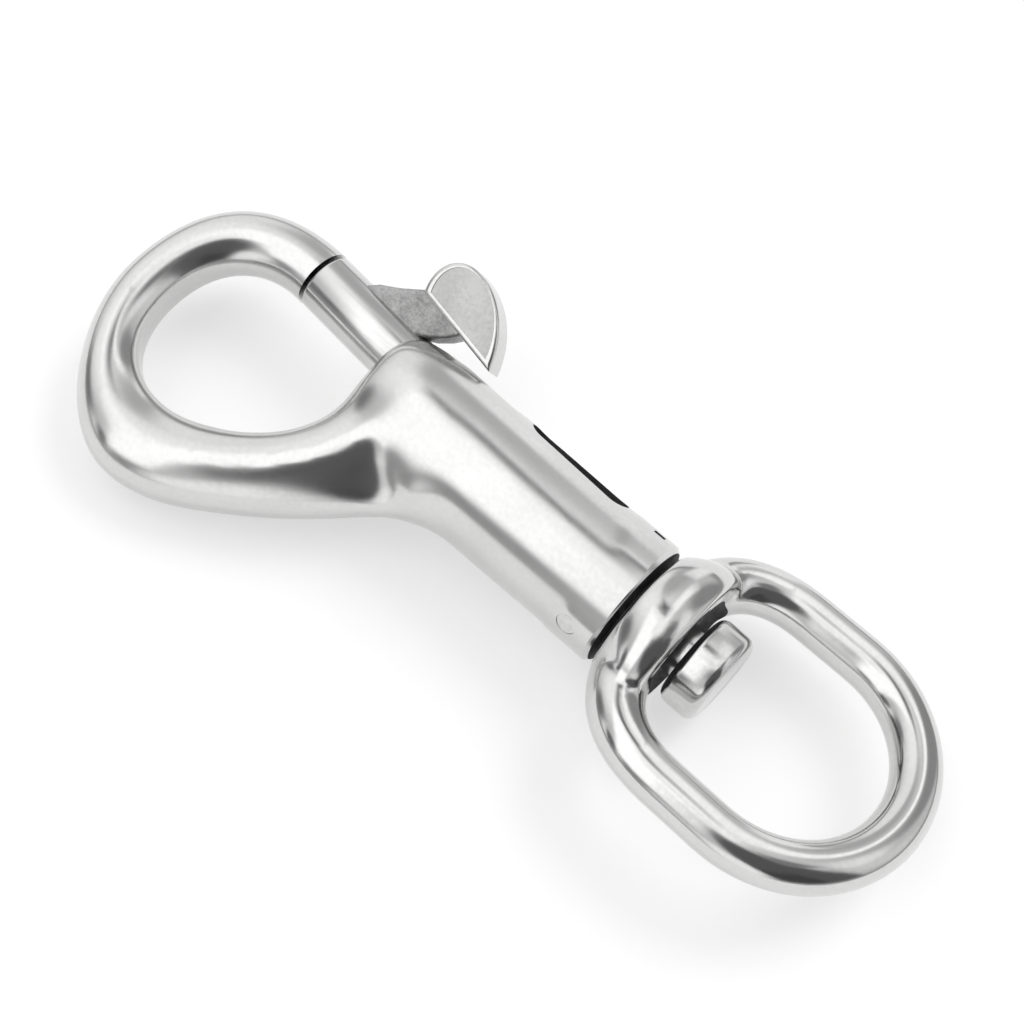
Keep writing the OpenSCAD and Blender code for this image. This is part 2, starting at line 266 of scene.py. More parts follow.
# Finishes. Each is a steel with its own polish: a slow change of tone, a fine grain or drawn
# streaks, and a roughness and bump that follow them.
plainSteel = dict(metal=1.0, warmth=0.993, stretch=(1, 1, 1), turn=(0, 0, 0), pits=0.05,
                  patchDetail=3.0, patchRough=0.5, grainDetail=4.0, grainRough=0.6,
                  pitScale=0.4, mixFrom=0.75, mixTo=1.25, bumpDepth=0.00004)
finishes = {
    "polishedSteel": dict(tone=(0.63, 0.67), rough=(0.16, 0.21), patch=160, grain=2200, bump=0.025),
    "boltSteel": dict(tone=(0.59, 0.67), rough=(0.10, 0.20), patch=260, grain=2400, bump=0.10,
                      stretch=(0.03, 1, 1), turn=(0, 0, 4.5), pits=0.0),
    "bowSteel": dict(tone=(0.63, 0.67), rough=(0.10, 0.15), patch=170, grain=2200, bump=0.025),
    "pinSteel": dict(tone=(0.58, 0.65), rough=(0.12, 0.2), patch=220, grain=2200, bump=0.06),
    "padSteel": dict(tone=(0.60, 0.66), rough=(0.12, 0.22), patch=240, grain=2600, bump=0.08),
    "castSteel": dict(tone=(0.32, 0.46), rough=(0.40, 0.60), patch=420, grain=3800, bump=0.6,
                      pits=0.6),
    "faceSteel": dict(tone=(0.38, 0.44), rough=(0.24, 0.32), patch=200, grain=2600, bump=0.06),
    "crossPinSteel": dict(tone=(0.60, 0.72), rough=(0.16, 0.30), patch=300, grain=3000, bump=0.1,
                          pits=0.1),
    # Painted shade: unpolished, rough steel whose very dark tone stands in for the shade in bores,
    # slots, holes and narrow gaps.
    "paintedShadeSteel": dict(tone=(0.04, 0.10), rough=(0.45, 0.65), patch=300, grain=2600, bump=0.4,
                       pits=0.4, metal=0.3),
    "springSteel": dict(tone=(0.50, 0.62), rough=(0.22, 0.36), patch=500, grain=3000, bump=0.1,
                        pits=0.0),
}


def steel(name):
    look = {**plainSteel, **finishes[name]}
    material = bpy.data.materials.new(name)
    material.use_nodes = True
    tree = material.node_tree
    shader = tree.nodes["Principled BSDF"]
    place = link(tree, "ShaderNodeTexCoord").outputs["Object"]
    along = link(tree, "ShaderNodeMapping", {
        "Vector": place, "Rotation": [math.radians(a) for a in look["turn"]],
        "Scale": look["stretch"]}).outputs["Vector"]
    patch = link(tree, "ShaderNodeTexNoise", {
        "Vector": place, "Scale": look["patch"], "Detail": look["patchDetail"],
        "Roughness": look["patchRough"]}).outputs["Fac"]
    grain = link(tree, "ShaderNodeTexNoise", {
        "Vector": along, "Scale": look["grain"], "Detail": look["grainDetail"],
        "Roughness": look["grainRough"]}).outputs["Fac"]
    pits = link(tree, "ShaderNodeTexVoronoi", {
        "Vector": place, "Scale": look["grain"] * look["pitScale"],
        "Randomness": 1.0}).outputs["Distance"]
    both = worked(tree, "ADD", patch, grain)
    blend = link(tree, "ShaderNodeMapRange", {
        "Value": both, "From Min": look["mixFrom"], "From Max": look["mixTo"],
        "To Min": 0.0, "To Max": 1.0}).outputs[0]
    tone = link(tree, "ShaderNodeValToRGB", {"Fac": blend})
    for stop, value in zip(tone.color_ramp.elements, look["tone"]):
        stop.color = (value, value, value * look["warmth"], 1)
    tree.links.new(tone.outputs["Color"], shader.inputs["Base Color"])
    rough = link(tree, "ShaderNodeMapRange", {
        "Value": blend, "To Min": look["rough"][1], "To Max": look["rough"][0]}).outputs[0]
    tree.links.new(rough, shader.inputs["Roughness"])
    height = worked(tree, "ADD", grain, worked(tree, "MULTIPLY", pits, look["pits"]))
    bump = link(tree, "ShaderNodeBump", {
        "Height": height, "Strength": look["bump"],
        "Distance": look["bumpDepth"]}).outputs["Normal"]
    tree.links.new(bump, shader.inputs["Normal"])
    shader.inputs["Metallic"].default_value = look["metal"]
    return material


steels = {name: steel(name) for name in finishes}
print("finishes made:", ", ".join(steels))

# The bolt's axis leans in the hook's plane; its lever and slot are rolled out of that plane.
bolt = dict(radius=3.0, clearance=0.08, tilt=4.5, rearOffset=1.0, leverRoll=20, tip=-42.8,
            length=21.0, tipRound=0.35, travel=10.0)


def axisY(x):
    return bolt["rearOffset"] - x * math.tan(math.radians(bolt["tilt"]))


def onBolt(x):
    return (Matrix.Translation((x, axisY(x), 0))
            @ Matrix.Rotation(math.radians(-bolt["tilt"]), 4, "Z")
            @ Matrix.Rotation(math.radians(bolt["leverRoll"]), 4, "X"))


# The casting: the eye's bar, from the nose round to the root, and the barrel are joined, put
# under one skin and then cut.
hook = dict(
    rearR=6.35, frontR=6.85, barrelLength=32.7, straight=6,  # the part by the mouth with no cone
    eyeLength=19.4, eyeWidth=16.8, eyeDrop=0.4, curl=5.3, curlTop=0.5, heel=8.0,
    heelIn=0.61, heelOut=0.58,  # shares of the eye's length, from the mouth
    throatEnd=6.7, rootStart=8.7, rootEnd=18.7,  # from the mouth
    coneX=-10.0,  # where both outlines of the bar end, inside the barrel
    noseX=-43.1, noseProud=0.05, noseSpare=0.9,  # spare: drawn past the nose, then cut off
    # At the joints of the outlines' curves: half heights, half heights towards the outer
    # outline, and half heights of the flat strip along the inner one.
    heights=(3.1, 3.55, 4.9, 5.6, 5.6), neckHeights=(3.1, 3.55, 3.6, 2.2, 2.2),
    flats=(0.3, 1.61, 1.42, 2.7, 0.02, 0.02), throatWall=0.35, flatTurn=78, neckBlend=0.55,
    rings=300, arcSteps=20, flatSteps=16, outerSteps=56, voxel=0.26, passes=10,
    # The slope from shoulder to heel: places count from the mouth.
    ramp=dict(turn=32, start=5.7, lean=2, drop=4.8, blend=3, side=-0.5, end=14.7, rise=3.3,
              fillet=1.5),
    root=dict(passes=140, front=7, rear=21, frontFade=7, rearFade=8, least=0.15, sideY=4,
              sideFade=5),
    barrelSides=128, dome=7.0, domeX=0.7, domeStep=6, lip=4.6,
    coneSteps=30, fineFrom=-9, fineTo=1, fineSteps=60,
    pad=dict(front=-5.1, bow=0.05, stand=0.2, height=10.92, blend=0.7),
    # What is cut: each tool reaches past the surface by the spare.
    spare=3, noseCut=(2, 8, 8), rearCut=(2, 20, 20), rearEdge=0.4, edgePast=0.1,
    boreEnd=-7.5, shankHole=2.52, shankEnd=-6.4,
    slotWidth=4.0, slotFloor=2.0, slotEnd=-20.5, slotHigh=14,
    windowWidth=3.3, windowFront=-16.2, windowRear=-7.9, windowRoll=35,
    cross=dict(x=-2.9, roll=-24, radius=1.02, reach=9),
    mark=dict(x=-2.1, roll=32, size=(1.2, 1.0, 0.7)))
mouthX = -hook["barrelLength"]


def coneR(x):
    grown = min(1, -x / (hook["barrelLength"] - hook["straight"]))
    return hook["rearR"] + (hook["frontR"] - hook["rearR"]) * grown


def castingRuns():
    # The bar's inner and outer outlines, from the nose round the eye to the barrel. Most
    # handles are shares of the eye's size or of the barrel's radius.
    tilt = math.radians(bolt["tilt"])
    side = Vector((math.sin(tilt), math.cos(tilt)))
    noseX, eyeL, eyeW, frontR = hook["noseX"], hook["eyeLength"], hook["eyeWidth"], hook["frontR"]
    nose, noseR = Vector((noseX, axisY(noseX))), bolt["radius"] + hook["noseProud"]
    eyeTop = nose.y - bolt["radius"] + hook["eyeDrop"]
    eyeBottom, eyeMid = eyeTop - eyeW, eyeTop - eyeW / 2
    farX = mouthX - eyeL
    outTop, outBottom = eyeTop + hook["curl"] + hook["curlTop"], eyeBottom - hook["heel"]
    outFar = farX - hook["curl"]
    inHeel, outHeel = mouthX - hook["heelIn"] * eyeL, mouthX - hook["heelOut"] * eyeL
    coneX, rootEnd = hook["coneX"], mouthX + hook["rootEnd"]
    rootX, throatX = mouthX + hook["rootStart"], mouthX + hook["throatEnd"]

    inner = bezRun(
        nose - noseR * side,
        ((noseX - 0.6 * (noseX - farX), eyeTop + 0.1), (farX, eyeMid + 0.31 * eyeW),
         (farX, eyeMid)),
        ((farX, eyeMid - 0.31 * eyeW), (inHeel - 0.24 * eyeL, eyeBottom), (inHeel, eyeBottom)),
        ((inHeel + 0.26 * eyeL, eyeBottom), (mouthX + 0.3, eyeMid - 0.19 * eyeW),
         (mouthX + 0.7, eyeMid + 0.14 * eyeW)),
        ((mouthX + 0.9, 0.44 * frontR), (mouthX - 0.4, frontR), (throatX, frontR)),
        ((mouthX + 9, frontR), (-15, coneR(-15)), (coneX, coneR(coneX))))
    outer = bezRun(
        nose + noseR * side,
        ((noseX - 0.64 * (noseX - outFar), outTop + 0.3), (outFar, eyeMid + 0.56 * eyeW),
         (outFar, eyeMid)),
        ((outFar, eyeMid - 0.44 * eyeW), (outHeel - 0.34 * eyeL, outBottom),
         (outHeel, outBottom)),
        ((outHeel + 0.34 * eyeL, outBottom), (mouthX + 3.2, -2.4 * frontR),
         (rootX, -1.6 * frontR)),
        ((mouthX + 11.2, -1.26 * frontR), (mouthX + 12.4, -1.015 * frontR),
         (rootEnd, -coneR(rootEnd))),
        [(x, -coneR(x)) for x in (rootEnd + (coneX - rootEnd) * k / 3 for k in range(1, 4))])
    return inner, outer


def rampHeight(place, gap):
    # Height of the straight slope from the barrel's shoulder down to the heel's outline.
    ramp, r = hook["ramp"], coneR(place.x)
    edge = -r * math.sin(math.radians(ramp["turn"]))
    slope = math.tan(math.radians(ramp["turn"]))
    top = math.sqrt(max(0.0, r * r - max(place.y, edge)**2)) - slope * max(0.0, edge - place.y)
    ahead = place.x - mouthX - ramp["start"] + ramp["lean"] * (place.y + ramp["drop"])
    share = soft(ahead / ramp["blend"] + 0.5)
    share *= soft(ramp["side"] * place.y) * soft((mouthX + ramp["end"] - place.x) / ramp["blend"])
    return max(0.0, min(top, ramp["rise"] * math.sqrt(max(0.0, gap)))) * share


def filleted(a, b, wide):
    # The higher of two heights, filleted where they are close.
    wide = max(1e-6, min(wide, 2 * min(a, b)))
    near = max(0.0, wide - abs(a - b)) / wide
    return max(a, b) + near * near * wide / 4


def eyeRows(inner, outer):
    # Rings along the bar, and a pole at each end.
    tilt, noseR = math.radians(bolt["tilt"]), bolt["radius"] + hook["noseProud"]
    heights, neckHeights = (noseR, *hook["heights"]), (noseR, *hook["neckHeights"])

    # Distance travelled along the middle of the bar, against the curves' own count.
    fine = 400
    counts, travel, last = [], [], None
    for k in range(5 * fine + 1):
        s = k / fine
        mid = (runAt(inner, s) + runAt(outer, s)) / 2
        travel.append(0.0 if last is None else travel[-1] + (mid - last).length)
        counts.append(s)
        last = mid
    knots = [travel[k * fine] for k in range(6)]

    def ring(far, inset=0.0):
        k = min(len(travel) - 1, bisect.bisect_left(travel, far))
        if k > 0:
            part = (far - travel[k - 1]) / max(1e-9, travel[k] - travel[k - 1])
            s = counts[k - 1] + (counts[k] - counts[k - 1]) * part
        else:
            s = 0.0
        i, o = runAt(inner, s), runAt(outer, s)
        mid, half, along = (i + o) / 2, (o - i).length / 2, (o - i).normalized()
        high = curveThrough(knots, heights, far)
        neck = curveThrough(knots, neckHeights, far)
        flat = curveThrough(knots, hook["flats"], far)
        if 3 < s < 4:  # the throat, which keeps a wall round the bore
            flat = max(flat, (bolt["radius"] + hook["throatWall"]) * math.sin(math.pi * (s - 3)))
        turn = math.acos(min(1, flat / high))
        reach = half / math.sin(turn)
        edge = min(turn, math.radians(hook["flatTurn"]))
        arc, middle, back = hook["arcSteps"], hook["flatSteps"], hook["outerSteps"]
        angles = ([edge * k / arc for k in range(arc)]
                  + [edge + (math.pi - 2 * edge) * k / middle for k in range(middle)]
                  + [math.pi - edge + edge * k / arc for k in range(arc)]
                  + [math.pi + math.pi * k / back for k in range(back)])
        shrinkW, shrinkH = (half - inset) / half, (high - inset) / high

        points = []
        for a in angles:
            w = -min(reach * math.sin(a), half) if a < math.pi else -half * math.sin(a)
            low = soft(w / (hook["neckBlend"] * half))
            place = mid + along * (w * shrinkW)
            z = (high + (neck - high) * low) * math.cos(a)
            if low > 0:
                wide = hook["ramp"]["fillet"] * low
                z = math.copysign(filleted(abs(z), rampHeight(place, half - w), wide), z)
            points.append(Vector((place.x, place.y, z * shrinkH)))
        return points

    ahead = hook["noseSpare"] * Vector((-math.cos(tilt), math.sin(tilt), 0))
    rows = [[p - ahead for p in ring(0, gap)] for gap in (noseR, 0)]
    armEnd = travel[int(4.5 * fine)]
    rows += [ring(armEnd * k / hook["rings"]) for k in range(hook["rings"] + 1)]
    rows += [[Vector((sum(p.x for p in rows[-1]) / len(rows[-1]), 0, 0))] * len(rows[-1])]
    return rows


def barrelRows():
    # A domed front, a slight cone, and a flat pad on each side near the rear.
    pad, sides, roll = hook["pad"], hook["barrelSides"], math.radians(bolt["leverRoll"])
    around = [2 * math.pi * k / sides for k in range(sides)]

    def barrelRing(x, radius):
        points = []
        for a in around:
            across = abs(math.sin(a + roll) * coneR(x))
            edgeIn = soft((0.5 * pad["height"] - across) / pad["blend"] + 0.5)
            bowed = pad["bow"] * across * across
            frontIn = soft((x - pad["front"] - bowed) / pad["blend"] + 0.5)
            stand = max(0.0, hook["rearR"] + pad["stand"] - coneR(x)) * edgeIn * frontIn
            reach = radius + stand
            points.append(Vector((x, -reach * math.cos(a), reach * math.sin(a))))
        return points

    dome, lip, domeX, fineX = hook["dome"], hook["lip"], mouthX + hook["domeX"], hook["fineFrom"]
    front = [(domeX + dome * (1 - math.cos(math.radians(a))),
              lip + (hook["frontR"] - lip) * math.sin(math.radians(a)))
             for a in range(0, 91, hook["domeStep"])]
    coarse, fine, endX = hook["coneSteps"], hook["fineSteps"], hook["fineTo"]
    xs = [domeX + dome + (fineX - domeX - dome) * k / coarse for k in range(1, coarse + 1)]
    xs += [fineX + (endX - fineX) * k / fine for k in range(1, fine + 1)]
    return ([[Vector((domeX, 0, 0))] * sides] + [barrelRing(*stop) for stop in front]
            + [barrelRing(x, coneR(min(0, x))) for x in xs] + [[Vector((endX, 0, 0))] * sides])


def rootShare(p):
    # The root is smoothed most, and its upper side least.
    root = hook["root"]
    near = (soft((p.x - mouthX + root["front"]) / root["frontFade"])
            * soft((mouthX + root["rear"] - p.x) / root["rearFade"]))
    return near * (root["least"] + (1 - root["least"])
                   * soft((root["sideY"] - p.y) / root["sideFade"]))


def cutSlot(body, front, rear, width, turn):
    # An open-topped slot with a round rear end, turned about the bolt's axis; its walls are painted
    # dark as shade.
    floor, high = hook["slotFloor"], hook["slotHigh"]
    turned = Matrix.Rotation(math.radians(turn), 4, "X")
    middle = Matrix.Translation(((rear - front) / 2, floor + high / 2, 0))
    carve(body, moved(block((rear - front, high, width), middle), onBolt(front) @ turned), faces=1)
    for x in (front, rear):
        if x > mouthX:
            end = rod(width / 2, floor, high, 48)
            carve(body, moved(end, onBolt(x) @ turned @ upright), faces=1)


def buildHook():
    body = piece(shell(eyeRows(*castingRuns())), "hookBody",
                 [steels["polishedSteel"], steels["paintedShadeSteel"]])
    carve(body, shell(barrelRows()), "UNION")
    remeshed(body, hook["voxel"], hook["passes"])
    relaxed(body, hook["root"]["passes"], rootShare)
    for f in body.data.polygons:
        f.material_index = 0
    print("casting skinned")

    # The nose and the barrel's rear are cut square, and the rear edge is chamfered.
    noseCut, rearCut, spare = hook["noseCut"], hook["rearCut"], hook["spare"]
    carve(body, block(noseCut, onBolt(hook["noseX"]) @ Matrix.Translation((noseCut[0] / 2, 0, 0))))
    carve(body, block(rearCut, Matrix.Translation((rearCut[0] / 2, 0, 0))))
    # The bore's wall is painted dark as shade.
    boreR = bolt["radius"] + bolt["clearance"]
    carve(body, moved(rod(boreR, -spare, hook["boreEnd"] - mouthX), onBolt(mouthX)), faces=1)
    full, edge, past = hook["rearR"] + hook["pad"]["stand"], hook["rearEdge"], hook["edgePast"]
    carve(body, lathe([(-edge, full), (past, full - edge - past), (past, full + 1),
                       (-edge, full + 1), (-edge, full)]))

    cutSlot(body, mouthX - spare, hook["slotEnd"], hook["slotWidth"], 0)
    cutSlot(body, hook["windowFront"], hook["windowRear"], hook["windowWidth"],
            hook["windowRoll"] - bolt["leverRoll"])
    # The shank hole and the cross pin's hole are painted dark as shade.
    carve(body, rod(hook["shankHole"], hook["shankEnd"], 1), faces=1)
    cross = hook["cross"]
    across = (Matrix.Translation((cross["x"], 0, 0))
              @ Matrix.Rotation(math.radians(cross["roll"]), 4, "X") @ upright)
    hole = rod(cross["radius"], -cross["reach"], cross["reach"], 48)
    carve(body, moved(hole, across), faces=1)

    # A small punched mark near the rear face; its walls are painted dark as shade.
    mark = hook["mark"]
    carve(body, block(mark["size"], Matrix.Rotation(math.radians(mark["roll"]), 4, "X")
                      @ Matrix.Translation((mark["x"], hook["rearR"], 0))), faces=1)
    paintShade(body, lambda p, n: n.x > 0.9 and p.x > -0.05)  # the rear face, painted dark as shade in the narrow gap to the boss
    return finished(body, "hookCasting", "hook", "hook_body", 30)


buildHook()


# The sliding bolt, with its edges rounded.
def buildBolt():
    r, e = bolt["radius"], bolt["tipRound"]
    profile = ([(0, 0), (0, r - e)] + corner(e, r - e, e, 180, 90)[1:]
               + corner(bolt["length"] - e, r - e, e, 90, 0) + [(bolt["length"], 0)])
    body = piece(moved(lathe(profile), onBolt(bolt["tip"])), "bolt", [steels["boltSteel"]])
    return finished(body, "slideBolt", "bolt", "bolt")


buildBolt()

# The thumb lever: a cast web on the bolt and a polished pad on the web. It is drawn on the
# bolt's axis, with x counted from the barrel's mouth.
lever = dict(web=3.0, pad=3.4, padLength=10.0, padWidth=5.2, padStart=(-1.5, 5.9), padLean=-5.9,
             webFront=-6.4, webRear=0.5, webEdge=0.3, padEdge=0.5, bevelSteps=5, voxel=0.1,
             passes=2, padSteps=20, dished=0.84, setIn=0.09, hollow=0.16,
             peg=dict(radius=1.0, x=-3.1, floor=0.85, above=0.5))


def plate(outline, thick, edge, material):
    # A flat plate about the plane z = 0, with its rims rounded.
    bm = prism(outline, -thick / 2, thick)
    rims = [e for e in bm.edges if abs(e.verts[0].co.z - e.verts[1].co.z) < 1e-5]
    bmesh.ops.bevel(bm, geom=rims, offset=edge, offset_type="OFFSET",
                    segments=lever["bevelSteps"], profile=0.5, affect="EDGES", material=-1,
                    clamp_overlap=True)
    for f in bm.faces:
        f.material_index = material
    return bm


def leverOutlines():
    # Web and pad, drawn in the plane of the lever.
    reach, length, width = bolt["radius"], lever["padLength"], lever["padWidth"]
    front, rear = lever["webFront"], lever["webRear"]
    px, py = lever["padStart"]
    # The web's corners count from its own ends, the bolt's surface and the pad's start.
    web = [(front, reach - 0.6), (front + 1.1, reach + 0.55), (front + 2.9, reach + 1.7),
           (px + 0.4, py + 0.7), (px + 6.1, py + 0.4), (rear + 2.6, reach + 1.3),
           (rear + 1.5, reach + 0.3), (rear, reach - 0.6)]
    crown = (0.27 * length, width)
    run = bezRun((0, 0), ((-0.14 * length, 0.4 * width), (-0.09 * length, width), crown),
                 ((0.5 * length, width), (0.83 * length, 0.7 * width), (length, 0)))
    lean = Matrix.Rotation(math.radians(lever["padLean"]), 2)
    stops = [runAt(run, k / lever["padSteps"]) for k in range(2 * lever["padSteps"])]
    pad = [lean @ p + Vector((px, py)) for p in stops + [Vector((length, 0))]]
    return web, pad


def buildLever():
    reach, thick, front = bolt["radius"], lever["pad"], lever["webFront"]
    webLine, padLine = leverOutlines()
    pad = piece(plate(padLine, thick, lever["padEdge"], 0), "pad",
                [steels["padSteel"], steels["castSteel"], steels["faceSteel"]])
    remeshed(pad, lever["voxel"], lever["passes"])
    carve(pad, plate(webLine, lever["web"], lever["webEdge"], 1), "UNION")
    carve(pad, rod(reach, front - 2, 6))  # the web's seat on the bolt
    peg = lever["peg"]
    stub = rod(peg["radius"], peg["floor"], reach + peg["above"], 48)
    carve(pad, moved(stub, Matrix.Translation((peg["x"], 0, 0)) @ upright), "UNION")

    # Each flat of the pad is set in from a narrow rim and slightly dished.
    middle = sum(padLine, Vector((0, 0))) / len(padLine)
    within = [middle + (p - middle) * lever["dished"] for p in padLine]
    for face in (1, -1):
        pocket = prism(within, face * (thick / 2 - lever["setIn"]), face)
        floor = min(pocket.faces, key=lambda f: abs(f.calc_center_median().z))
        bmesh.ops.poke(pocket, faces=[floor], offset=lever["hollow"])
        bmesh.ops.recalc_face_normals(pocket, faces=pocket.faces)
        carve(pad, pocket, faces=2)
    pad.data.transform(onBolt(mouthX))
    return finished(pad, "thumbLever", "bolt", "thumb_lever", 35)


buildLever()

# The swivel pin, its head rounded all round.
pin = dict(shank=2.5, end=-6.4, chamfer=0.3, head=4.55, headX=6.6, headEnd=10.4, headRound=0.9,
           roundSteps=7)


def buildPin():
    r, e, steps = pin["head"], pin["headRound"], pin["roundSteps"]
    profile = ([(pin["end"], 0), (pin["end"], pin["shank"] - pin["chamfer"]),
                (pin["end"] + pin["chamfer"], pin["shank"]), (pin["headX"], pin["shank"])]
               + corner(pin["headX"] + e, r - e, e, 180, 90, steps)
               + corner(pin["headEnd"] - e, r - e, e, 90, 0, steps) + [(pin["headEnd"], 0)])
    return finished(piece(lathe(profile), "pin", [steels["pinSteel"]]),
                    "swivelPin", "hook", "swivel_pin")


buildPin()

# The bow: a bulging boss and a round rod bent to a long loop, run together where they meet.
# The loop's shoulder counts from the boss's front face, as shares of the loop's half width,
# and the dish round the pin's head counts from the boss's rear face.
bow = dict(rod=2.375, rootExtra=0.5, half=11.5, farX=29.375, turn=-17, around=48,
           shoulder=((2.4, 0.26), (2.7, 0.65), (5, 0.985), (11.5, 0.995)),
           widen=0.005, shoulderSteps=26, sideSteps=12, endSteps=40,
           bossX=0.5, bossLength=5.3, bossR=6.8, bossBulge=0.6, bossArc=50, bossStep=5,
           flare=0.32, voxel=0.2, passes=30, hole=2.58,
           dish=((-0.75, 0), (-0.75, 4.6), (-0.1, 5.5), (0.6, 5.9), (0.6, 0)))


def bowLine():
    # Points along the loop, each with its nearness to the boss.
    half, endX, steps = bow["half"], bow["farX"] - bow["half"], bow["shoulderSteps"]
    shoulder = [Vector((bow["bossX"] + x, share * half)) for x, share in bow["shoulder"]]
    sideX, share = bow["bossX"] + bow["shoulder"][-1][0], bow["shoulder"][-1][1]
    upper = [(bez(shoulder, k / steps), 1 - k / steps) for k in range(steps + 1)]
    for k in range(1, bow["sideSteps"]):
        x = sideX + (endX - sideX) * k / bow["sideSteps"]
        y = half * (share + bow["widen"] * k / bow["sideSteps"])
        upper.append((Vector((x, y)), 0))
    for k in range(bow["endSteps"] + 1):
        a = math.pi / 2 - math.pi * k / (2 * bow["endSteps"])
        upper.append((Vector((endX + half * math.cos(a), half * math.sin(a))), 0))
    return upper + [(Vector((p.x, -p.y)), near) for p, near in reversed(upper[:-1])]


def loopRows():
    line, sides = bowLine(), bow["around"]
    rows = []
    for i, (p, near) in enumerate(line):
        d = line[min(len(line) - 1, i + 1)][0] - line[max(0, i - 1)][0]
        n = Vector((-d.y, d.x)).normalized()
        r = bow["rod"] + bow["rootExtra"] * soft(near)
        turn = [2 * math.pi * k / sides for k in range(sides)]
        rows.append([Vector((p.x + n.x * r * math.cos(a), p.y + n.y * r * math.cos(a),
                             r * math.sin(a))) for a in turn])
    first, last = ([Vector((*end, 0))] * sides for end in (line[0][0], line[-1][0]))
    return [first] + rows + [last]


def bossShape():
    # A turned bulge that widens in the bow's plane towards its rear face.
    bossX, long, arc, step = bow["bossX"], bow["bossLength"], bow["bossArc"], bow["bossStep"]
    sine, drop = math.sin(math.radians(arc)), 1 - math.cos(math.radians(arc))
    bulge = [(bossX + long * (0.5 + 0.5 * math.sin(a) / sine),
              bow["bossR"] - bow["bossBulge"] * (1 - math.cos(a)) / drop)
             for a in (math.radians(deg) for deg in range(-arc, arc + 1, step))]
    boss = lathe([(bossX, 0)] + bulge + [(bossX + long, 0)])
    for v in boss.verts:
        rear = min(1, max(0, (v.co.x - bossX) / long))
        v.co.y *= 1 + bow["flare"] * math.sin(0.5 * math.pi * rear)
    return boss


def buildBow():
    bossX, bossEnd = bow["bossX"], bow["bossX"] + bow["bossLength"]
    loop = piece(shell(loopRows()), "loop", [steels["bowSteel"], steels["paintedShadeSteel"]])
    carve(loop, bossShape(), "UNION")
    remeshed(loop, bow["voxel"], bow["passes"])
    for f in loop.data.polygons:
        f.material_index = 0
    paintShade(loop, lambda p, n: n.x < -0.9 and p.x < bossX + 0.3)  # the boss's front face, painted dark as shade in the narrow gap to the barrel
    # The pin's hole and the dish round its head are painted dark as shade.
    carve(loop, rod(bow["hole"], -2, 8), faces=1)
    carve(loop, lathe([(bossEnd + x, r) for x, r in bow["dish"]]), faces=1)
    loop.data.transform(Matrix.Rotation(math.radians(bow["turn"]), 4, "X"))
    return finished(loop, "swivelBow", "bow", "swivel_bow", 30)


buildBow()

# The spring behind the bolt, with a closed turn at each end, drawn at rest; the bolt's travel would
# squeeze it.
spring = dict(wire=0.5, turns=6, coilR=2.4, start=-21.8, room=14.3, gap=0.05, closeLead=1.02,
              turnSteps=48, wireSides=12)


def springRows():
    wire, turns, each = spring["wire"] / 2, spring["turns"], spring["turnSteps"]
    length = spring["room"] - 2 * wire - 2 * spring["gap"]
    lead = spring["closeLead"] * spring["wire"]
    section = [2 * math.pi * k / spring["wireSides"] for k in range(spring["wireSides"])]
    rows = []
    for i in range((turns + 2) * each + 1):
        a, lap = 2 * math.pi * i / each, i / each
        x = (lead * min(lap, 1) + lead * max(0, lap - turns - 1)
             + (length - 2 * lead) * min(1, max(0, (lap - 1) / turns)))
        out = Vector((0, math.cos(a), math.sin(a)))
        middle = Vector((x + spring["gap"] + wire, 0, 0)) + out * spring["coilR"]
        rows.append([middle + wire * (Vector((math.sin(b), 0, 0)) + out * math.cos(b))
                     for b in section])
    first, last = ([sum(ring, Vector()) / len(ring)] * len(ring) for ring in (rows[0], rows[-1]))
    return [first] + rows + [last]


def buildSpring():
    coil = piece(moved(shell(springRows()), onBolt(spring["start"])), "coil",
                 [steels["springSteel"]])
    finished(coil, "springCoil", "hook", "spring", 60)
    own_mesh(coil)
    return coil


buildSpring()

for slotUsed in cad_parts["cross_pin"].material_slots:
    slotUsed.material = steels["crossPinSteel"]
print("pieces made")

# Floor, light and camera.
studio = dict(floorTone=0.60, toneSpread=0.006, paperGrain=900.0, floorLift=0.48, floorSize=3.0,
              floorGap=0.00002, key=0.9, keyAngle=30, keyTurn=(-42, 12, 0))
floorShape = bmesh.new()
bmesh.ops.create_grid(floorShape, x_segments=1, y_segments=1, size=studio["floorSize"] / 2)
floorZ = cadBox[0][2] - studio["floorGap"]
bmesh.ops.translate(floorShape, vec=(0, 0, floorZ), verts=floorShape.verts)


def paperFloor():
    # Matt paper that reads as white to the camera and in the metal, and keeps its shadows.
    paper = bpy.data.materials.new("paper")
    paper.use_nodes = True
    tree = paper.node_tree
    shader = tree.nodes["Principled BSDF"]
    grain = link(tree, "ShaderNodeTexNoise", {
        "Vector": link(tree, "ShaderNodeTexCoord").outputs["Object"],
        "Scale": studio["paperGrain"], "Detail": 2.0}).outputs["Fac"]
    tone = link(tree, "ShaderNodeMapRange", {
        "Value": grain, "To Min": studio["floorTone"] - studio["toneSpread"],
        "To Max": studio["floorTone"] + studio["toneSpread"]}).outputs[0]
    tree.links.new(tone, shader.inputs["Base Color"])
    shader.inputs["Roughness"].default_value = 1.0
    shader.inputs["Specular IOR Level"].default_value = 0.0
    path = link(tree, "ShaderNodeLightPath").outputs
    seen = worked(tree, "ADD", path["Is Camera Ray"], path["Is Glossy Ray"])
    seen = worked(tree, "ADD", seen, path["Is Transmission Ray"], use_clamp=True)
    lift = worked(tree, "MULTIPLY", seen, studio["floorLift"])
    shader.inputs["Emission Color"].default_value = (1, 1, 1, 1)
    tree.links.new(lift, shader.inputs["Emission Strength"])
    return paper


piece(floorShape, "floor", [paperFloor()])

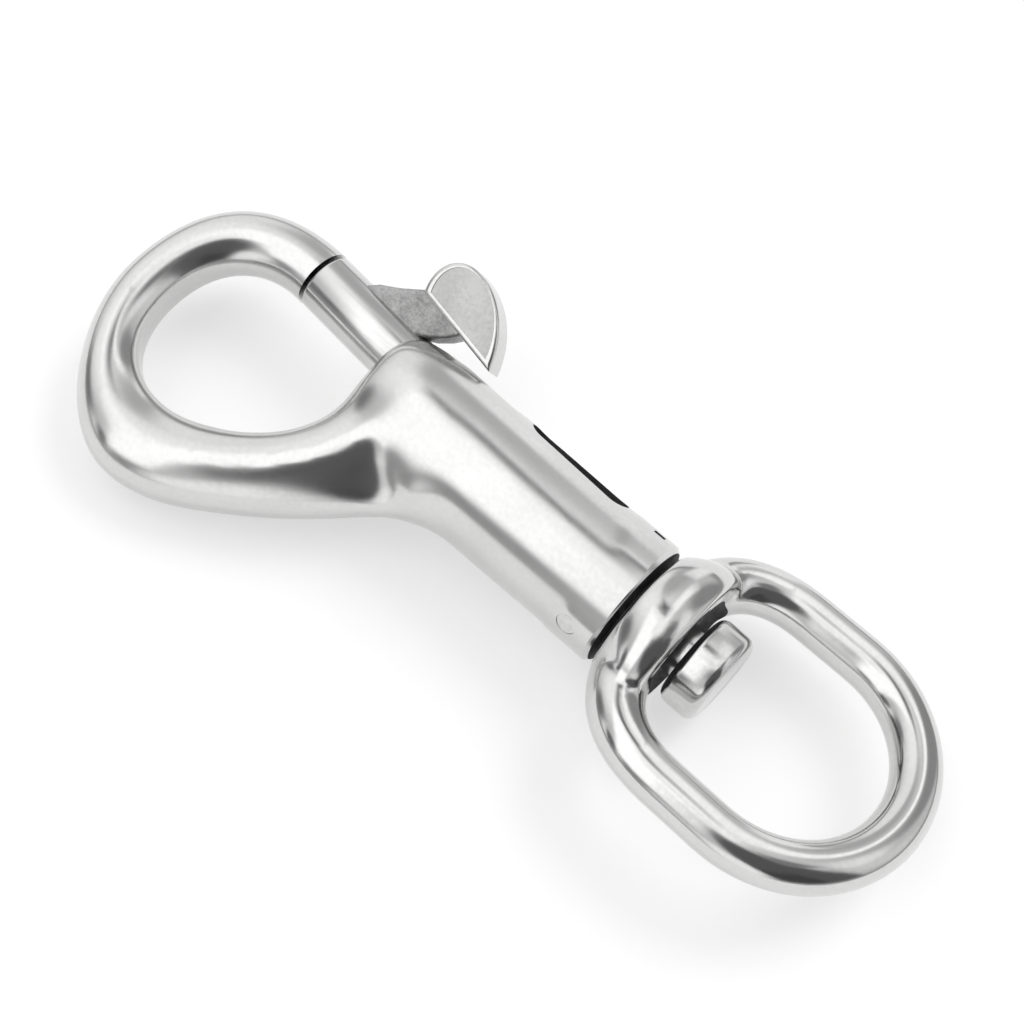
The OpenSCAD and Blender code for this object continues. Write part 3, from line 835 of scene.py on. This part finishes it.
# The studio round the object, drawn on a disc as if seen from above: the centre is overhead,
# the rim is level, and each patch is a soft card or light (place, half size, turn, level, blur).
overhead = dict(base=0.58, gain=1.2, patches=[
    ((-0.42, 0.10), (0.40, 0.32), 0, 1.02, 0.7, "round"),
    ((-0.62, 0.50), (0.22, 0.26), 0, 0.90, 0.6, "round"),
    ((-0.30, 0.60), (0.13, 0.32), 0, 0.46, 0.5, "round"),
    ((0.75, 0.75), (0.75, 0.35), -45, 0.58, 0.3, "round"),
    ((0.24, 0.70), (0.22, 0.28), -8, 0.28, 0.35, "round"),
    ((0.42, 0.26), (0.24, 0.11), -20, 0.88, 0.45, "round"),
    ((0.70, 0.28), (0.15, 0.24), 0, 0.70, 0.6, "round"),
    ((-0.64, -0.62), (0.10, 0.14), 0, 0.85, 0.5, "round"),
    ((-0.21, -0.35), (0.18, 0.39), -4, 1.30, 0.2, "box"),
    ((-0.02, -0.05), (0.10, 0.12), 0, 1.05, 0.4, "box"),
    ((-0.01, 0.30), (0.055, 0.34), 3, 1.15, 0.4, "box"),
    ((0.52, -0.34), (0.46, 0.35), -10, 0.06, 0.22, "round"),
    ((0.26, -0.38), (0.26, 0.28), 0, 0.10, 0.3, "round"),
    ((0.62, -0.12), (0.42, 0.14), 0, 0.10, 0.25, "box"),
    ((0.24, 0.05), (0.10, 0.14), 20, 0.20, 0.4, "round"),
    ((-0.15, 0.18), (0.10, 0.065), 0, 0.14, 0.8, "box"),
    ((-0.51, -0.67), (0.08, 0.14), 15, 0.14, 0.4, "round"),
    ((-0.81, -0.38), (0.19, 0.18), 0, 0.18, 0.5, "round"),
    ((-0.21, -0.90), (0.13, 0.11), 0, 0.28, 0.4, "box"),
    ((0.0, 0.0), (0.94, 0.94), 0, 0.30, 0.04, "rim"),
    ((0.30, -0.84), (0.34, 0.13), 12, 1.00, 0.5, "round"),
    ((-0.22, 0.92), (0.10, 0.16), 0, 0.95, 0.4, "box"),
])


def discPlace(tree):
    # Where on the disc a direction falls; both halves of the sky share the disc.
    aim = link(tree, "ShaderNodeTexCoord").outputs["Generated"]
    rise = link(tree, "ShaderNodeSeparateXYZ", {0: aim}).outputs["Z"]
    spread = worked(tree, "POWER", worked(tree, "ADD", worked(tree, "ABSOLUTE", rise), 1.0), -0.5)
    disc = link(tree, "ShaderNodeVectorMath", {0: aim, "Scale": spread}, operation="SCALE")
    flat = link(tree, "ShaderNodeVectorMath", {0: disc.outputs[0], 1: (1, 1, 0)},
                operation="MULTIPLY")
    return flat.outputs[0]


def patchMask(tree, disc, place, half, turn, blur, shape):
    local = link(tree, "ShaderNodeMapping", {
        "Vector": disc, "Location": (*place, 0), "Rotation": (0, 0, math.radians(turn)),
        "Scale": (*half, 1)}, vector_type="TEXTURE").outputs[0]
    if shape == "box":
        sides = link(tree, "ShaderNodeVectorMath", {0: local}, operation="ABSOLUTE").outputs[0]
        sides = link(tree, "ShaderNodeSeparateXYZ", {0: sides}).outputs
        out = worked(tree, "MAXIMUM", sides["X"], sides["Y"])
    else:
        out = link(tree, "ShaderNodeVectorMath", {0: local}, operation="LENGTH").outputs["Value"]
    return link(tree, "ShaderNodeMapRange", {
        "Value": out, "From Min": 1 - blur, "From Max": 1 + blur,
        "To Min": float(shape != "rim"), "To Max": float(shape == "rim")},
        interpolation_type="SMOOTHSTEP").outputs[0]


world = bpy.data.worlds.new("studio")
scene.world = world
world.use_nodes = True
tree = world.node_tree
tree.nodes.clear()
disc = discPlace(tree)
level = overhead["base"]
for place, half, turn, bright, blur, shape in overhead["patches"]:
    mask = patchMask(tree, disc, place, half, turn, blur, shape)
    level = link(tree, "ShaderNodeMix", {0: mask, 2: level, 3: bright},
                 data_type="FLOAT").outputs[0]
level = worked(tree, "MULTIPLY", level, overhead["gain"])
seen = link(tree, "ShaderNodeLightPath").outputs["Is Camera Ray"]
level = link(tree, "ShaderNodeMix", {0: seen, 2: level, 3: 1.0}, data_type="FLOAT").outputs[0]
glow = link(tree, "ShaderNodeBackground", {"Color": (1, 1, 1, 1), "Strength": level})
link(tree, "ShaderNodeOutputWorld", {0: glow.outputs[0]})

key = bpy.data.objects.new("key", bpy.data.lights.new("key", "SUN"))
key.data.energy = studio["key"]
key.data.angle = math.radians(studio["keyAngle"])
key.rotation_euler = [math.radians(a) for a in studio["keyTurn"]]
key.visible_glossy = False
scene.collection.objects.link(key)

view = dict(lens=62.33, sensor=36, clipStart=0.005, rows=(
    (0.73551, -0.63581, 0.23404, 0.035981),
    (0.66722, 0.61979, -0.41312, -0.062202),
    (0.11762, 0.46000, 0.88009, 0.147936),
    (0, 0, 0, 1)))
camera = bpy.data.objects.new("camera", bpy.data.cameras.new("camera"))
scene.collection.objects.link(camera)
camera.data.lens = view["lens"]
camera.data.sensor_width = view["sensor"]
camera.data.clip_start = view["clipStart"]
camera.matrix_world = Matrix(view["rows"])
scene.camera = camera
scene.view_settings.view_transform = "Standard"
print("studio set")
